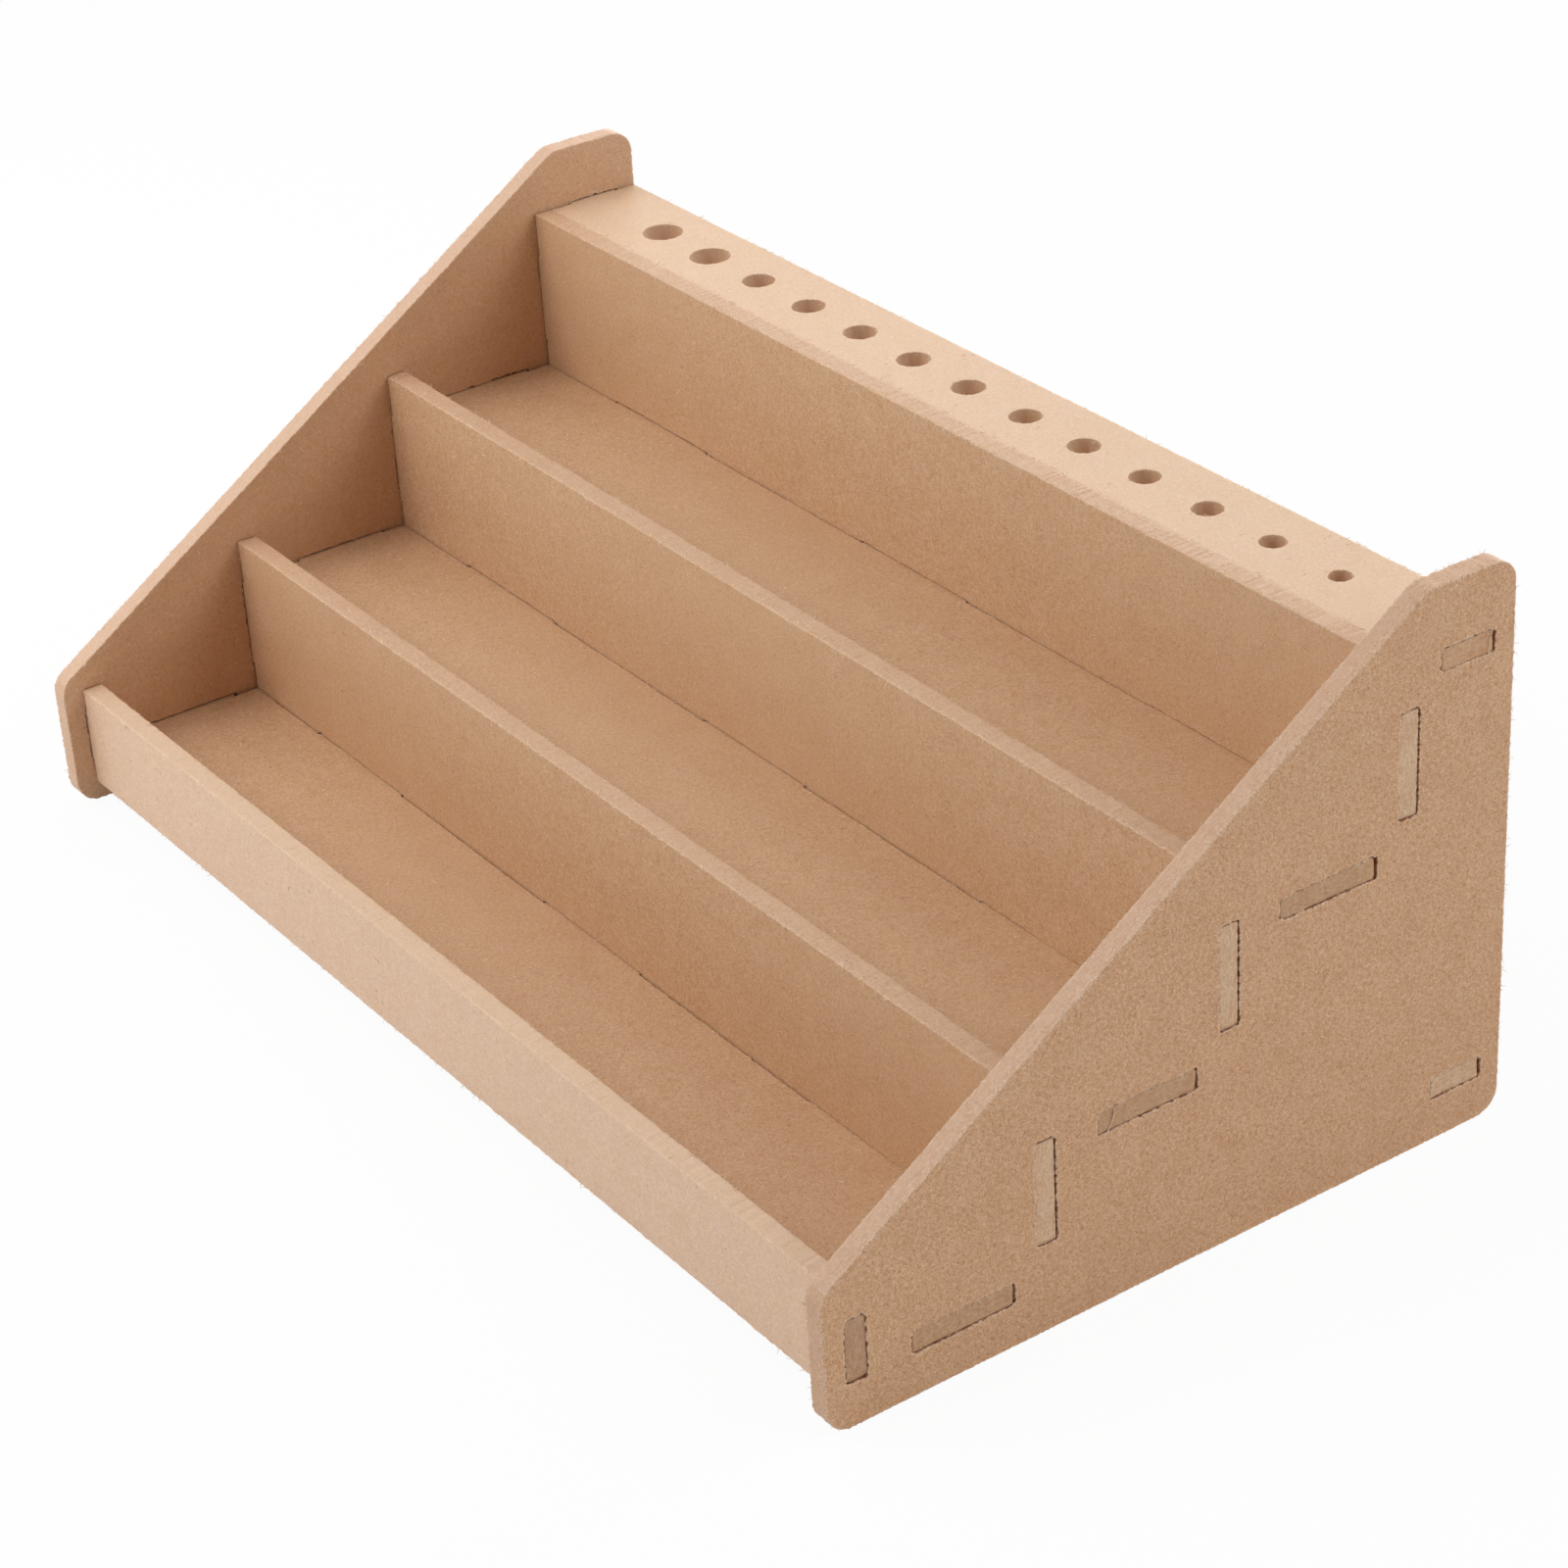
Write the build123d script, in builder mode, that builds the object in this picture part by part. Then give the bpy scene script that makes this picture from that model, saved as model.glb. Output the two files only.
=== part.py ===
from build123d import *
from math import sqrt
import os

os.makedirs("parts", exist_ok=True)

# A stepped rack for paint bottles and brushes, routed from one thickness of
# fibreboard and pressed together with tabs, slots and fingers.
# X runs along the trays, the front faces -Y, and Z is up from the table.
# The origin lies on the table, in the middle of the width and the depth.
# All sizes are in millimetres.

# The sheet and the cutter
board = 5.0             # thickness of every piece
bit_radius = 1.0        # left in the corners of each slot and notch
flat_play = 0.05        # gap on each flat of a tab inside its slot
tab_recess = 0.4        # how far a tab stops short of the face it reaches for

# Along the width
inner_width = 315.0     # between the two side panels

# Along the depth, from front to rear
lip_inset = 5.2         # front lip, behind the side panels' front edges
tray_depth = 42.0       # clear depth of each tray
rail_width = 25.3       # brush rail, and the stretcher under it

# Up the height
lip_lift = 5.1          # lower edge of the front lip
lip_height = 26.0
shelf_lift = 10.4       # underside of the lowest shelf and of the stretcher
tier_rise = 30.6        # from one shelf to the next
tray_wall = 10.5        # upright in front of a tray, above that tray's floor
side_rise = 14.8        # side panels, above the brush rail

# Outline of the side panels
front_rise = 2.4        # front corner, above the front lip
top_flat = 23.8         # level edge at the top
corner_radius = 6.0

# Tabs at the ends of the boards, and fingers where a shelf meets an upright
wide_setback = 11.5     # edge of a shelf or an upright to its end tab
narrow_setback = 6.2    # the same on the lip, the rail and the stretcher
finger_count = 3
finger_length = 40.0

# Brush holes, from the left
hole_pitch = 20.85
hole_bores = (10.0, 10.0, 8.0, 8.0, 8.0, 8.0, 8.0, 7.5, 7.5, 7.0, 7.0, 6.0, 5.0)

# Tiers, from the lowest to the highest
tiers = ("lower", "middle", "upper")

# Places along the depth
side_depth = lip_inset + board + len(tiers) * (tray_depth + board) + rail_width
front = -side_depth / 2
rear = side_depth / 2
lip_front = front + lip_inset
first_tray = lip_front + board
tray_fronts = [first_tray + i * (tray_depth + board) for i in range(len(tiers))]
rail_front = rear - rail_width

# Places up the height
shelf_undersides = [shelf_lift + i * tier_rise for i in range(len(tiers))]
upright_height = board + tier_rise + tray_wall
rail_top = shelf_undersides[-1] + upright_height
rail_underside = rail_top - board
side_height = rail_top + side_rise
front_height = lip_lift + lip_height + front_rise

# A tab has square corners and its slot has the cutter's round ones, so the
# slot is longer than the tab by the depth of the round at the tab's corner.
end_play = bit_radius - sqrt(bit_radius**2 - (bit_radius - flat_play) ** 2) + flat_play
slot_width = board + 2 * flat_play
tab_reach = board - tab_recess
shelf_width = tray_depth + board
finger_pitch = inner_width / finger_count


def keep(piece, name):
    piece.part.label = name
    export_step(piece.part, f"parts/{name}.step")


# Each upright's and each flat board's seat in the side panels:
# centre along the depth and the height, length of the tab
upright_seats = [(lip_front + board / 2, lip_lift + lip_height / 2, lip_height - 2 * narrow_setback)]
flat_seats = []
for tray_front, underside in zip(tray_fronts, shelf_undersides):
    upright_middle = tray_front + tray_depth + board / 2
    upright_seats.append((upright_middle, underside + upright_height / 2, upright_height - 2 * wide_setback))
    shelf_middle = tray_front + shelf_width / 2
    flat_seats.append((shelf_middle, underside + board / 2, shelf_width - 2 * wide_setback))
for underside in (rail_underside, shelf_lift):
    flat_seats.append((rail_front + rail_width / 2, underside + board / 2, rail_width - 2 * narrow_setback))


# Side panels: a sloping edge over the trays, a level top beside the brushes,
# and a slot right through for each tab
with BuildPart() as right_side:
    with BuildSketch(Plane.YZ.offset(inner_width / 2)):
        with BuildLine():
            Polyline(
                (front, 0),
                (rear, 0),
                (rear, side_height),
                (rear - top_flat, side_height),
                (front, front_height),
                close=True,
            )
        make_face()
        fillet(vertices(), radius=corner_radius)
        for depth, height, tab in upright_seats:
            with Locations((depth, height)):
                RectangleRounded(slot_width, tab + 2 * end_play, bit_radius, mode=Mode.SUBTRACT)
        for depth, height, tab in flat_seats:
            with Locations((depth, height)):
                RectangleRounded(tab + 2 * end_play, slot_width, bit_radius, mode=Mode.SUBTRACT)
    extrude(amount=board)
keep(right_side, "right_side")

with BuildPart() as left_side:
    mirror(right_side.part, about=Plane.YZ)
keep(left_side, "left_side")


# Front lip: hangs lower than the shelf behind it
with BuildPart() as front_lip:
    with BuildSketch(Plane.XZ.offset(-first_tray)):
        with Locations((0, lip_lift + lip_height / 2)):
            Rectangle(inner_width, lip_height)
            Rectangle(inner_width + 2 * tab_reach, lip_height - 2 * narrow_setback)
    extrude(amount=board)
keep(front_lip, "front_lip")


# Shelf: the floor of one tray. Its rear edge has fingers that pass under the
# upright behind it, and its front edge butts on the upright before it.
def make_shelf(name, tray_front, underside):
    with BuildPart() as shelf:
        with BuildSketch(Plane.XY.offset(underside)):
            with Locations((0, tray_front + tray_depth / 2)):
                Rectangle(inner_width, tray_depth)
            with Locations((0, tray_front + shelf_width / 2)):
                Rectangle(inner_width + 2 * tab_reach, shelf_width - 2 * wide_setback)
            with Locations((0, tray_front + tray_depth + tab_reach / 2)):
                with GridLocations(finger_pitch, 0, finger_count, 1):
                    Rectangle(finger_length, tab_reach)
        extrude(amount=board)
    keep(shelf, name)


# Upright: the rear wall of one tray and the front wall of the next. Its lower
# edge is notched over the shelf's fingers.
def make_upright(name, rear_face, underside):
    with BuildPart() as upright:
        with BuildSketch(Plane.XZ.offset(-rear_face)):
            with Locations((0, underside + upright_height / 2)):
                Rectangle(inner_width, upright_height)
                Rectangle(inner_width + 2 * tab_reach, upright_height - 2 * wide_setback)
            with Locations((0, underside)):
                with GridLocations(finger_pitch, 0, finger_count, 1):
                    RectangleRounded(
                        finger_length + 2 * end_play,
                        2 * (board + flat_play),
                        bit_radius,
                        mode=Mode.SUBTRACT,
                    )
        extrude(amount=board)
    keep(upright, name)


for tier, tray_front, underside in zip(tiers, tray_fronts, shelf_undersides):
    make_shelf(f"{tier}_shelf", tray_front, underside)
    make_upright(f"{tier}_upright", tray_front + shelf_width, underside)


# Stretcher: joins the side panels low at the rear, where the brushes' lower
# ends come to rest
with BuildPart() as rear_stretcher:
    with BuildSketch(Plane.XY.offset(shelf_lift)):
        with Locations((0, rail_front + rail_width / 2)):
            Rectangle(inner_width, rail_width)
            Rectangle(inner_width + 2 * tab_reach, rail_width - 2 * narrow_setback)
    extrude(amount=board)
keep(rear_stretcher, "rear_stretcher")


# Brush rail: level with the top of the highest upright, with a row of holes
# that get smaller from left to right
first_hole = -hole_pitch * (len(hole_bores) - 1) / 2

with BuildPart() as brush_rail:
    with BuildSketch(Plane.XY.offset(rail_underside)):
        with Locations((0, rail_front + rail_width / 2)):
            Rectangle(inner_width, rail_width)
            Rectangle(inner_width + 2 * tab_reach, rail_width - 2 * narrow_setback)
    extrude(amount=board)
    for index, bore in enumerate(hole_bores):
        with Locations((first_hole + index * hole_pitch, rail_front + rail_width / 2, rail_top)):
            Hole(radius=bore / 2)
keep(brush_rail, "brush_rail")
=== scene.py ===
"""Looks of the paint holder: raw routed fibreboard, pressed together, in a pale studio."""

import logging
import math
from dataclasses import dataclass, field
from enum import Enum

import bmesh
import bpy
from mathutils import Matrix, Vector, geometry, noise


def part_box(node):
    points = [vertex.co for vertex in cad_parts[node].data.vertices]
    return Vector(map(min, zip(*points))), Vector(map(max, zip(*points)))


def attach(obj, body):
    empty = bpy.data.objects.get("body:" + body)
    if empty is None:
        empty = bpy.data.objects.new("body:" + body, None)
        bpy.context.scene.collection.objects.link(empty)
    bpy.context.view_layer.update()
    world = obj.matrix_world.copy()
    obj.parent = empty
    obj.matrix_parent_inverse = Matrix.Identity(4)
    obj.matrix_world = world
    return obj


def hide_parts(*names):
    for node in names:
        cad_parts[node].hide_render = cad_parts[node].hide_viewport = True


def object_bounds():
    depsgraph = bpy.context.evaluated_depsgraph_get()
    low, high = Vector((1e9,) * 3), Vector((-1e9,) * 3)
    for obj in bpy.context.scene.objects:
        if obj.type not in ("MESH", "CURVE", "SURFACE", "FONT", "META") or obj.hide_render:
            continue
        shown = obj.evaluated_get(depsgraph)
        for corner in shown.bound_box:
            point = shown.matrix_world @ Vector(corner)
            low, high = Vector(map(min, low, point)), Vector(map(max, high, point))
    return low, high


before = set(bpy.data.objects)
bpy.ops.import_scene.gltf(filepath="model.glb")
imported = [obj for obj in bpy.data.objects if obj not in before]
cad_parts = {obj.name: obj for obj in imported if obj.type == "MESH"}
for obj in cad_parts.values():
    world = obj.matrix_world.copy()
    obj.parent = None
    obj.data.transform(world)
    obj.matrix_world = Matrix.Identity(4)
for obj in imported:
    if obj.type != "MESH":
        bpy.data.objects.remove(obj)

MM = 0.001
CAD_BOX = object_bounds()
PANEL_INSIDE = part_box("right_side")[0].x
BODY = "root"
TIERS = ("lower", "middle", "upper")
WHITE = (1, 1, 1, 1)
NODE_SPACING = 180  # between a tree's nodes
NOISE_MIDDLE = 0.5  # what noise gives on average
RIM_FALLOFF = 2.0  # how fast the pale rim, part fuzz and part painted highlight, and the fibres fade away from a rim
COLOUR_MIX = (0, 6, 7), 2  # a Mix node's inputs and its output, for colours
NUMBER_MIX = (0, 2, 3), 0  # the same for numbers
SRGB_KNEE, SRGB_SLOPE, SRGB_OFFSET, SRGB_POWER = 0.04045, 12.92, 0.055, 2.4
FACING = 0.9  # least share of a normal along an axis, for a face to look along it
WELD = 0.002 * MM
TOUCH = 0.01 * MM
TAB_START = 0.3 * MM  # past the panel's inner face, where a tab starts
JOINT_START = 0.6 * MM  # before that face, where a joint starts
FILL_TOLERANCE = 1e-5
INSIDE_THE_SIDES = 1  # the triangulation's rule for what it keeps

log = logging.getLogger("paint_holder")

Colour = tuple[float, float, float]
Outline = list[Vector]


class SheetAxis(Enum):
    """The axis that runs through a board's thickness."""

    X = 0
    Y = 1
    Z = 2

    @property
    def across(self) -> int:
        """The first axis of the board's plane."""
        return (self.value + 1) % 3

    @property
    def along(self) -> int:
        """The second axis of the board's plane."""
        return (self.value + 2) % 3


class Opening(Enum):
    """What a closed outline goes round."""

    NONE = 0
    SLOT = 1
    BORE = 2


def linear(red: int, green: int, blue: int) -> Colour:
    """Turns a colour as it looks on screen into the shader's linear values.

    Args:
        red: Red, from 0 to 255.
        green: Green, from 0 to 255.
        blue: Blue, from 0 to 255.

    Returns:
        The linear colour, each part from 0 to 1.
    """
    parts = [c / 255 for c in (red, green, blue)]
    return tuple(
        p / SRGB_SLOPE if p <= SRGB_KNEE else ((p + SRGB_OFFSET) / (1 + SRGB_OFFSET)) ** SRGB_POWER
        for p in parts
    )


def placed(name: str, data: bpy.types.ID) -> bpy.types.Object:
    """Puts a new object into the scene.

    Args:
        name: The object's name.
        data: Its mesh, curve, lamp or camera.

    Returns:
        The object.
    """
    made = bpy.data.objects.new(name, data)
    bpy.context.scene.collection.objects.link(made)
    return made


class NodeSheet:
    """A node tree with short calls for adding nodes and joining them."""

    def __init__(self, tree: bpy.types.NodeTree) -> None:
        """Starts on a tree and clears it."""
        self.tree = tree
        self.tree.nodes.clear()

    def add(self, kind: str, **settings: object) -> bpy.types.Node:
        """Adds a node.

        Args:
            kind: The node's type name.
            settings: Properties to set on the node.

        Returns:
            The new node.
        """
        node = self.tree.nodes.new(kind)
        node.location.x = NODE_SPACING * len(self.tree.nodes)
        for name, value in settings.items():
            setattr(node, name, value)
        return node

    def put(self, socket: bpy.types.NodeSocket, value: object) -> None:
        """Feeds an input socket with another node's output or with a plain value.

        Args:
            socket: The input socket.
            value: The other node's output socket, or the plain value.
        """
        if isinstance(value, bpy.types.NodeSocket):
            self.tree.links.new(value, socket)
        else:
            socket.default_value = value

    def feed(self, node: bpy.types.Node, **values: object) -> bpy.types.Node:
        """Feeds a node's inputs by name, with an underscore for each space.

        Args:
            node: The node.
            values: A socket or a plain value for each named input.

        Returns:
            The node.
        """
        for name, value in values.items():
            self.put(node.inputs[name.replace("_", " ")], value)
        return node

    def math(self, operation: str, *values: object, clamp: bool = False) -> bpy.types.NodeSocket:
        """Adds a Math node.

        Args:
            operation: The Math node's operation.
            values: Its inputs, each a socket or a number.
            clamp: Whether the result is kept from 0 to 1.

        Returns:
            The result's socket.
        """
        node = self.add("ShaderNodeMath", operation=operation, use_clamp=clamp)
        for socket, value in zip(node.inputs, values):
            self.put(socket, value)
        return node.outputs[0]

    def total(self, *terms: tuple[object, float]) -> bpy.types.NodeSocket:
        """Adds up sockets, each times its own weight.

        Args:
            terms: Pairs of a socket and its weight.

        Returns:
            The sum's socket.
        """
        result = None
        for socket, weight in terms:
            part = self.math("MULTIPLY", socket, weight)
            result = part if result is None else self.math("ADD", result, part)
        return result

    def mixed(
        self, sockets: tuple[tuple[int, ...], int], *values: object, **settings: str
    ) -> bpy.types.NodeSocket:
        """Adds a Mix node.

        Args:
            sockets: Which of the node's inputs and which of its outputs to use.
            values: The factor and what is mixed, each a socket or a plain value.
            settings: Properties to set on the node.

        Returns:
            The result's socket.
        """
        node = self.add("ShaderNodeMix", **settings)
        inputs, output = sockets
        for index, value in zip(inputs, values):
            self.put(node.inputs[index], value)
        return node.outputs[output]

    def mix(self, factor: object, first: object, second: object) -> bpy.types.NodeSocket:
        """Mixes two colours.

        Args:
            factor: The share of the second colour, a socket or a number.
            first: The first colour, a socket or a linear colour.
            second: The second colour, a socket or a linear colour.

        Returns:
            The mixed colour's socket.
        """
        ends = [(*end, 1.0) if isinstance(end, tuple) else end for end in (first, second)]
        return self.mixed(COLOUR_MIX, factor, *ends, data_type="RGBA")

    def tint(self, colour: object, factor: object) -> bpy.types.NodeSocket:
        """Multiplies one colour by another.

        Args:
            colour: The colour's socket.
            factor: The colour to multiply it by.

        Returns:
            The tinted colour's socket.
        """
        return self.mixed(COLOUR_MIX, 1.0, colour, factor, data_type="RGBA", blend_type="MULTIPLY")

    def blend(self, factor: object, first: object, second: object) -> bpy.types.NodeSocket:
        """Mixes two numbers.

        Args:
            factor: The share of the second number, a socket or a number.
            first: The first number's socket.
            second: The second number's socket.

        Returns:
            The mixed number's socket.
        """
        return self.mixed(NUMBER_MIX, factor, first, second, data_type="FLOAT")

    def band(self, value: object, low: float, high: float) -> bpy.types.NodeSocket:
        """Fades from 0 at low to 1 at high; low may be the larger one.

        Args:
            value: The socket to read.
            low: The value that gives 0.
            high: The value that gives 1.

        Returns:
            The faded value's socket.
        """
        node = self.add("ShaderNodeMapRange", interpolation_type="SMOOTHSTEP")
        self.feed(node, Value=value, From_Min=low, From_Max=high)
        return node.outputs["Result"]

    def noise(
        self, vector: object, size: float, detail: float = 2.0, rough: float = 0.5
    ) -> bpy.types.NodeSocket:
        """Adds soft noise.

        Args:
            vector: The coordinates.
            size: The size of its lumps, in the coordinates' unit.
            detail: The number of finer layers.
            rough: The weight of the finer layers.

        Returns:
            The noise's value, about 0.5 on average.
        """
        node = self.add("ShaderNodeTexNoise")
        self.feed(node, Vector=vector, Scale=1 / size, Detail=detail, Roughness=rough)
        return node.outputs[0]

    def turned(self, vector: object, turn: Vector, stretch: Vector) -> bpy.types.NodeSocket:
        """Turns and then squeezes coordinates.

        Args:
            vector: The coordinates.
            turn: The turn about each axis, in radians.
            stretch: The factor along each axis after the turn.

        Returns:
            The new coordinates' socket.
        """
        spin = self.add("ShaderNodeVectorRotate", rotation_type="EULER_XYZ")
        self.feed(spin, Vector=vector, Rotation=turn)
        scale = self.add("ShaderNodeVectorMath", operation="MULTIPLY")
        self.put(scale.inputs[0], spin.outputs[0])
        scale.inputs[1].default_value = stretch
        return scale.outputs[0]

    def millimetres(self) -> bpy.types.NodeSocket:
        """Gives the place on the object.

        Returns:
            The socket of the place, in millimetres.
        """
        place = self.add("ShaderNodeTexCoord").outputs["Object"]
        scale = self.add("ShaderNodeVectorMath", operation="SCALE")
        self.put(scale.inputs[0], place)
        scale.inputs["Scale"].default_value = 1 / MM
        return scale.outputs[0]

    def attribute(self, name: str) -> bpy.types.NodeSocket:
        """Gives a mesh attribute's value."""
        return self.add("ShaderNodeAttribute", attribute_name=name).outputs["Fac"]


@dataclass(frozen=True)
class Fibreboard:
    """Raw fibreboard: matted strands on its faces, and the core's layers where the cutter went.

    Its sizes are in millimetres, apart from the relief. A patch is the two values of noise between
    which something sets in.
    """

    name: str
    axis: SheetAxis
    face: Colour = linear(209, 168, 129)
    core: Colour = linear(205, 166, 133)
    tab_end: Colour = linear(196, 150, 108)
    # Painted shade for the walls of slots and bores and for the board ends inside the panels
    crevice_shade: Colour = linear(165, 108, 72)
    # Where a panel's inner face has its own colour, the outer face's colour and stronger grain
    # contrast are painted for the raking light on it
    inner_face: Colour | None = None
    inner_contrast: float = 0.6
    outer_side: tuple[float, float] = (159.6, 160.4)
    # The pale rim colour, partly fuzz and partly a painted highlight along the arris; also the fuzz
    # on tab ends
    bristle: Colour = linear(243, 214, 182)
    bristle_share: float = 0.85
    bristle_size: float = 0.45
    bristle_patch: tuple[float, float] = (0.38, 0.58)
    bristle_on_tab: float = 0.05
    speck: Colour = linear(96, 66, 46)
    speck_share: float = 0.5
    speck_spacing: float = 2.6
    speck_edge: tuple[float, float] = (0.11, 0.05)
    speck_group: float = 3.0
    speck_patch: tuple[float, float] = (0.5, 0.58)
    stain_size: float = 5.0
    stain_patch: tuple[float, float] = (0.25, 0.75)
    stain_tints: tuple[Colour, Colour] = ((1.0, 1.0, 0.97), (1.0, 1.0, 1.03))
    pit: Colour = (0.75, 0.53, 0.31)
    crest: Colour = (1.25, 1.47, 1.69)
    contrast: float = 0.6
    tab_contrast: float = 0.9
    rim_fuzz_and_highlight: float = 0.7
    fluff_size: float = 0.22
    strand_share: float = 1.2
    fluff_share: float = 0.9
    cloud_share: float = 0.4
    cloud_size: float = 7.0
    strand_turns: tuple[float, ...] = (15, 60, 105, 150)
    strand_length: float = 1.2
    strand_width: float = 0.17
    strand_gap: float = 0.08
    strand_fade: float = 0.1
    strand_height: float = 0.45
    layer_length: float = 1.6
    layer_width: float = 0.3
    crumb_size: float = 0.5
    roughness: float = 0.55
    sheen: float = 0.75
    relief: float = 0.05 * MM

    def material(self) -> bpy.types.Material:
        """Makes the finish.

        Returns:
            The material.
        """
        made = bpy.data.materials.new(f"fibreboard_{self.name}")
        made.use_nodes = True
        sheet = NodeSheet(made.node_tree)
        place = sheet.millimetres()
        cut = sheet.attribute("cut")
        strands = self.strands(sheet, place)
        layers = self.layers(sheet, place)
        grain = sheet.blend(cut, strands, layers)
        surface = sheet.add("ShaderNodeBsdfPrincipled")
        bump = sheet.feed(sheet.add("ShaderNodeBump"), Height=grain, Distance=self.relief)
        sheet.put(surface.inputs["Base Color"], self.colour(sheet, place, cut, grain))
        sheet.put(surface.inputs["Normal"], bump.outputs[0])
        sheet.feed(surface, Roughness=self.roughness, Specular_IOR_Level=self.sheen)
        sheet.put(sheet.add("ShaderNodeOutputMaterial").inputs["Surface"], surface.outputs[0])
        return made

    def strands(self, sheet: NodeSheet, place: bpy.types.NodeSocket) -> bpy.types.NodeSocket:
        """Lays short strands in several directions over a board's face.

        Args:
            sheet: The material's nodes.
            place: The place on the board, in millimetres.

        Returns:
            The strands' height, about 0.5 on average.
        """
        squeeze = Vector([1 / self.strand_width] * 3)
        squeeze[self.axis.across] = 1 / self.strand_length
        high, low = NOISE_MIDDLE + self.strand_gap, NOISE_MIDDLE - self.strand_gap
        crest, pit = 0.0, 0.0
        for angle in self.strand_turns:
            turn = Vector((0, 0, 0))
            turn[self.axis.value] = math.radians(angle)
            lay = sheet.noise(sheet.turned(place, turn, squeeze), 1.0)
            crest = sheet.math("MAXIMUM", crest, sheet.band(lay, high, high + self.strand_fade))
            pit = sheet.math("MAXIMUM", pit, sheet.band(lay, low, low - self.strand_fade))
        height = self.strand_height
        return sheet.total((crest, height), (pit, -height), (1.0, NOISE_MIDDLE))

    def layers(self, sheet: NodeSheet, place: bpy.types.NodeSocket) -> bpy.types.NodeSocket:
        """Shows the pressed layers on a cut edge.

        Args:
            sheet: The material's nodes.
            place: The place on the board, in millimetres.

        Returns:
            The layers' height, about 0.5 on average.
        """
        squeeze = Vector([1 / self.layer_length] * 3)
        squeeze[self.axis.value] = 1 / self.layer_width
        flat = sheet.turned(place, Vector((0, 0, 0)), squeeze)
        seams = sheet.noise(flat, 1.0, detail=3.0, rough=0.6)
        crumbs = sheet.noise(place, self.crumb_size, detail=3.0, rough=0.6)
        return sheet.total((seams, 1.0), (crumbs, 1.0), (1.0, -NOISE_MIDDLE))

    def colour(
        self,
        sheet: NodeSheet,
        place: bpy.types.NodeSocket,
        cut: bpy.types.NodeSocket,
        grain: bpy.types.NodeSocket,
    ) -> bpy.types.NodeSocket:
        """Colours the board.

        Args:
            sheet: The material's nodes.
            place: The place on the board, in millimetres.
            cut: 1 on a cut edge and 0 on a face.
            grain: The height of the strands or the layers.

        Returns:
            The colour's socket.
        """
        tab = sheet.attribute("tab")
        face, contrast = self.face, self.contrast
        # The right panel's outer face: own colour and stronger grain contrast, painted for the
        # raking light on that face
        if self.inner_face:
            split = sheet.feed(sheet.add("ShaderNodeSeparateXYZ"), Vector=place)
            outer = sheet.band(split.outputs["X"], *self.outer_side)
            face = sheet.mix(outer, self.inner_face, self.face)
            contrast = sheet.blend(outer, self.inner_contrast, self.contrast)
        base = sheet.mix(cut, face, self.core)
        base = sheet.mix(tab, base, self.tab_end)
        # Painted shade: a darker colour in the walls of slots and bores and on board ends inside
        # the panels
        base = sheet.mix(sheet.attribute("crevice_shade"), base, self.crevice_shade)
        # Pale rims: partly pale fuzz, partly a painted highlight along the arris
        fuzz = sheet.band(sheet.noise(place, self.bristle_size), *self.bristle_patch)
        near = sheet.math("POWER", sheet.attribute("rim"), RIM_FALLOFF)
        worn = sheet.math("MULTIPLY", near, fuzz)
        loose = sheet.math("MAXIMUM", worn, sheet.math("MULTIPLY", tab, self.bristle_on_tab))
        base = sheet.mix(sheet.math("MULTIPLY", loose, self.bristle_share), base, self.bristle)
        dots = sheet.add("ShaderNodeTexVoronoi")
        sheet.feed(dots, Vector=place, Scale=1 / self.speck_spacing)
        lone = sheet.band(sheet.noise(place, self.speck_group, detail=1.0), *self.speck_patch)
        speck = sheet.math("MULTIPLY", sheet.band(dots.outputs["Distance"], *self.speck_edge), lone)
        base = sheet.mix(sheet.math("MULTIPLY", speck, self.speck_share), base, self.speck)
        fluff = sheet.noise(place, self.fluff_size, detail=3.0, rough=0.7)
        cloud = sheet.noise(place, self.cloud_size, detail=4.0, rough=0.6)
        shares = (self.strand_share, self.fluff_share, self.cloud_share)
        swing = sheet.total(*zip((grain, fluff, cloud), shares), (1.0, -NOISE_MIDDLE * sum(shares)))
        contrast = sheet.blend(tab, contrast, self.tab_contrast)
        tone = sheet.math("MULTIPLY_ADD", swing, contrast, NOISE_MIDDLE)
        spread = sheet.noise(place, self.stain_size, detail=3.0, rough=0.6)
        stain = sheet.band(spread, *self.stain_patch)
        base = sheet.tint(base, sheet.mix(stain, *self.stain_tints))
        return sheet.tint(base, sheet.mix(tone, self.pit, self.crest))


@dataclass(frozen=True)
class Bristle:
    """Loose pale fibres."""

    root: Colour = linear(226, 194, 160)
    tip: Colour = linear(250, 232, 208)
    patch_size: float = 0.8
    patch: tuple[float, float] = (0.35, 0.6)
    roughness: float = 0.7

    def material(self) -> bpy.types.Material:
        """Makes the finish.

        Returns:
            The material.
        """
        made = bpy.data.materials.new("bristle")
        made.use_nodes = True
        sheet = NodeSheet(made.node_tree)
        tone = sheet.band(sheet.noise(sheet.millimetres(), self.patch_size), *self.patch)
        surface = sheet.add("ShaderNodeBsdfPrincipled")
        sheet.put(surface.inputs["Base Color"], sheet.mix(tone, self.root, self.tip))
        sheet.feed(surface, Roughness=self.roughness)
        sheet.put(sheet.add("ShaderNodeOutputMaterial").inputs["Surface"], surface.outputs[0])
        return made


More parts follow.
